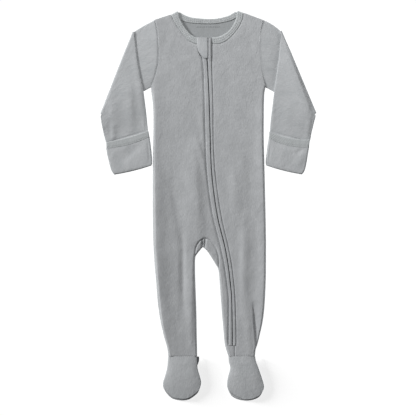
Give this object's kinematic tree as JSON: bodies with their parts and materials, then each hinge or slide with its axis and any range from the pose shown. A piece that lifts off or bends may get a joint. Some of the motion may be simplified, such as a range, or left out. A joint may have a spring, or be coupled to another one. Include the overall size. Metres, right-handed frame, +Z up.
{
  "type": "footed baby sleepsuit",
  "caption": "Footed baby sleepsuit laid flat, with a zip from the neck to one ankle, long sleeves folded forward and closed mitten cuffs.",
  "frame": {"origin": "centre of the laid garment's box, on the surface that it lies on", "axes": "+Z up from the surface, +Y from the feet to the neck, +X to the wearer's left"},
  "size_m": [0.3307, 0.5999, 0.0088],
  "materials": {
    "jersey": "soft matte grey knitted jersey",
    "rib": "fine grey knitted rib",
    "zip_tape": "woven grey zip tape with a fine coil",
    "zip_metal": "grey enamelled die-cast zinc"
  },
  "bodies": {
    "root": {"back_body": "jersey", "front_right": "jersey", "front_left": "jersey", "crotch_gusset": "jersey", "sleeve_right": "jersey", "sleeve_left": "jersey", "cuff_right": "jersey", "cuff_left": "jersey", "cuff_band_right": "rib", "cuff_band_left": "rib", "neck_binding": "rib", "zip_welt_right": "jersey", "zip_welt_left": "jersey", "zip_tape_right": "zip_tape", "zip_tape_left": "zip_tape", "zip_slider": "zip_metal", "zip_pull": "zip_metal", "zip_guard": "jersey", "foot_upper_right": "jersey", "foot_upper_left": "jersey", "sole_right": "jersey", "sole_left": "jersey", "heel_right": "jersey", "heel_left": "jersey"}
  },
  "joints": []
}
